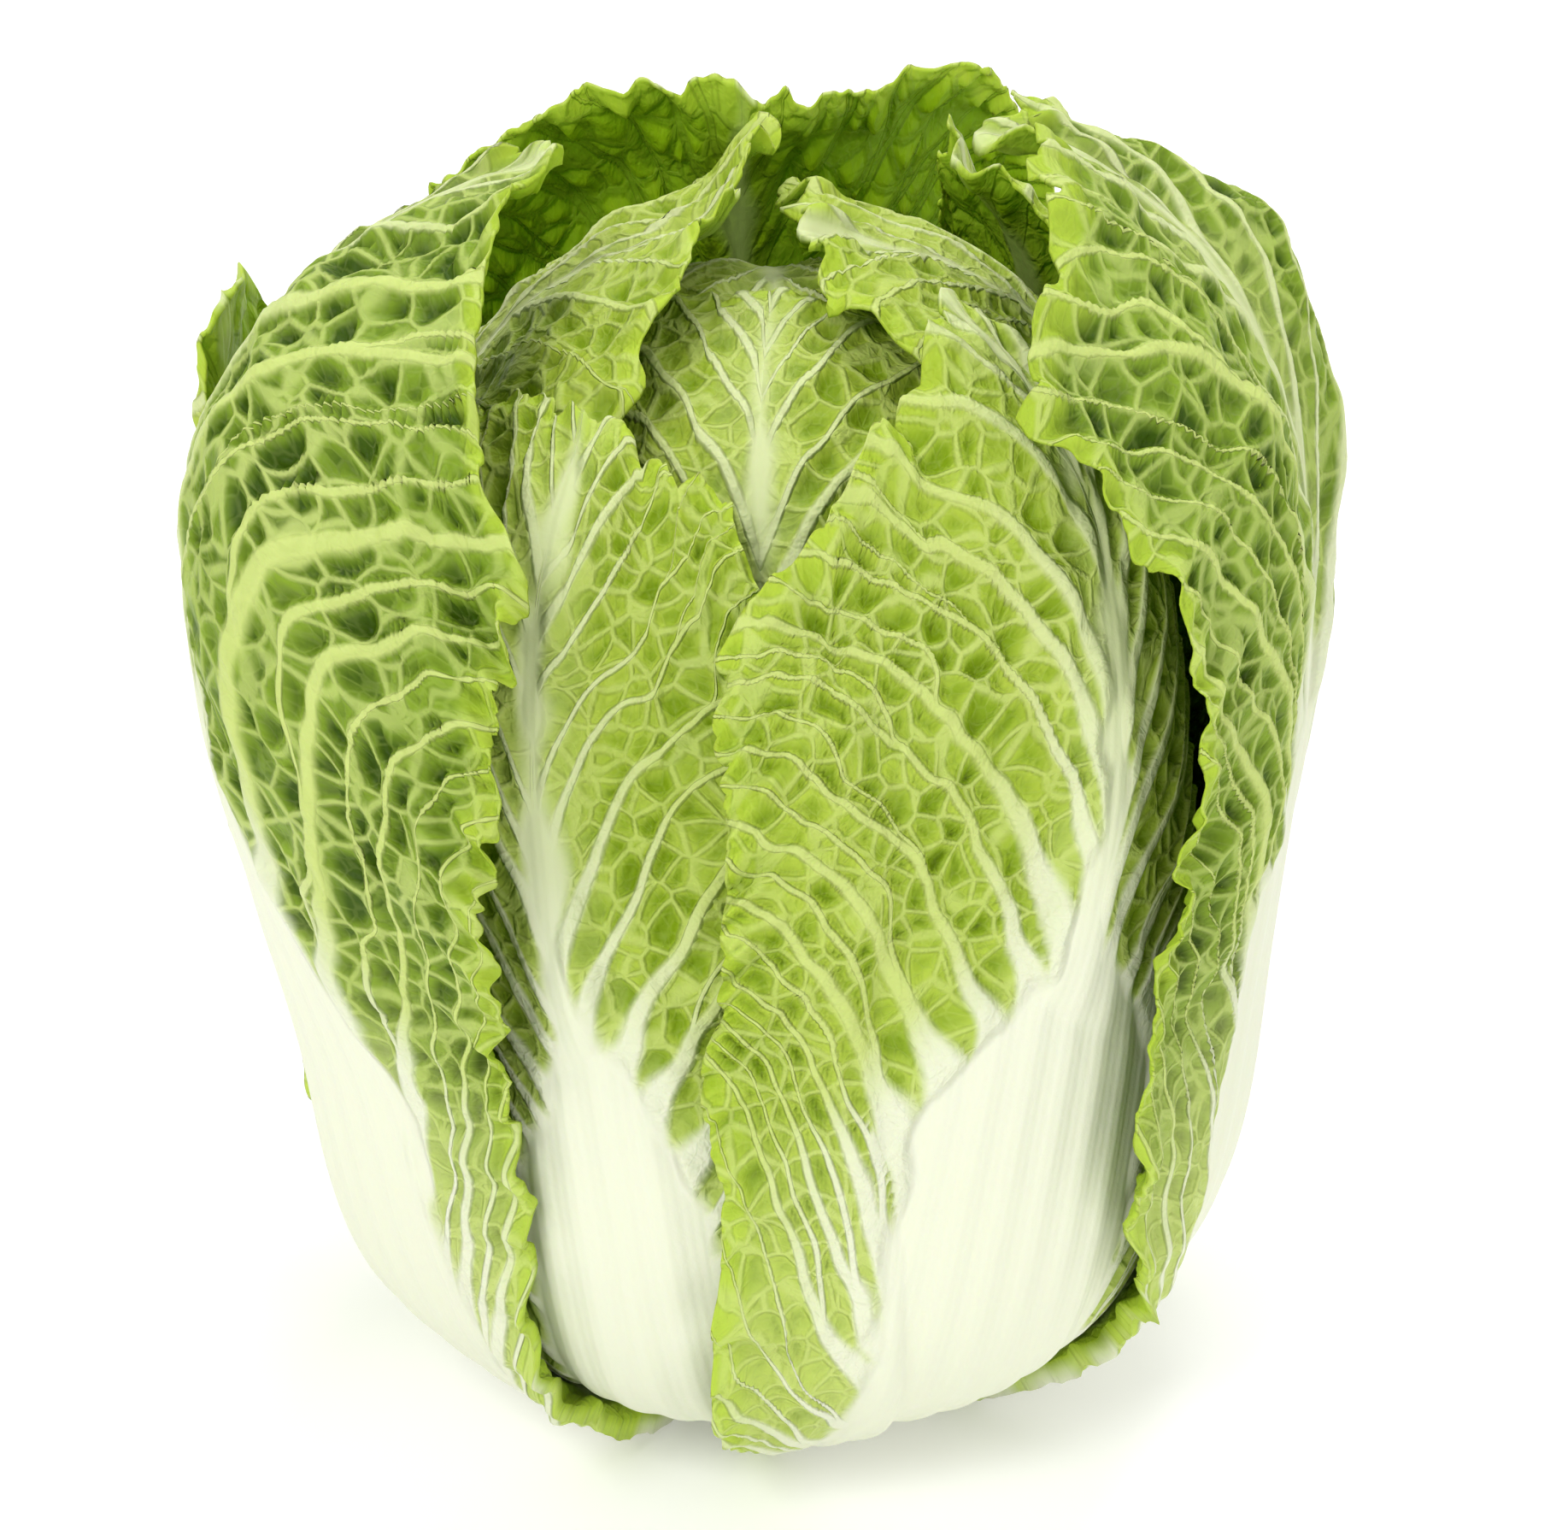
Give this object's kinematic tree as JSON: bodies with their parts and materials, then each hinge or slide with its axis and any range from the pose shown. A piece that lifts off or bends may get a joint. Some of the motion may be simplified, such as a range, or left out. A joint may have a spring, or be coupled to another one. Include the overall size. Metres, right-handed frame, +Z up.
{
  "type": "napa cabbage",
  "caption": "Barrel-shaped head of napa cabbage standing on its cut core, with overlapping crinkled leaves around a closed heart.",
  "frame": {"origin": "centre of the core's cut face, on the surface that the head stands on", "axes": "+Z up through the top of the head; -Y the front, where one broad leaf overlaps another; +X to the right of the front"},
  "size_m": [0.2102, 0.1852, 0.24],
  "materials": {
    "core_flesh": "moist cut stem, cream with a faint green ring",
    "leaf_pale": "young leaf: cream stalk and ribs, pale yellow-green blade, soft waxy sheen",
    "leaf_mid": "full leaf: white stalk and ribs, bright yellow-green crinkled blade, soft waxy sheen",
    "leaf_deep": "outer leaf: white stalk and ribs, darker green crinkled blade, soft waxy sheen"
  },
  "bodies": {
    "root": {"core": "core_flesh", "heart_leaf_01": "leaf_pale", "heart_leaf_02": "leaf_pale", "heart_leaf_03": "leaf_pale", "heart_leaf_04": "leaf_pale", "heart_leaf_05": "leaf_pale", "heart_leaf_06": "leaf_pale", "heart_leaf_07": "leaf_pale", "heart_leaf_08": "leaf_pale", "heart_leaf_09": "leaf_pale", "heart_leaf_10": "leaf_pale", "heart_leaf_11": "leaf_pale", "heart_leaf_12": "leaf_pale", "heart_leaf_13": "leaf_pale", "heart_leaf_14": "leaf_pale", "heart_leaf_15": "leaf_pale", "inner_leaf_back": "leaf_pale", "inner_leaf_front": "leaf_pale", "inner_leaf_right": "leaf_pale", "inner_leaf_left": "leaf_pale", "leaf_front_left": "leaf_mid", "leaf_front_right": "leaf_mid", "leaf_back_right": "leaf_mid", "leaf_back": "leaf_deep", "leaf_back_left": "leaf_mid", "outer_leaf_left": "leaf_deep", "outer_leaf_right": "leaf_deep"}
  },
  "joints": []
}
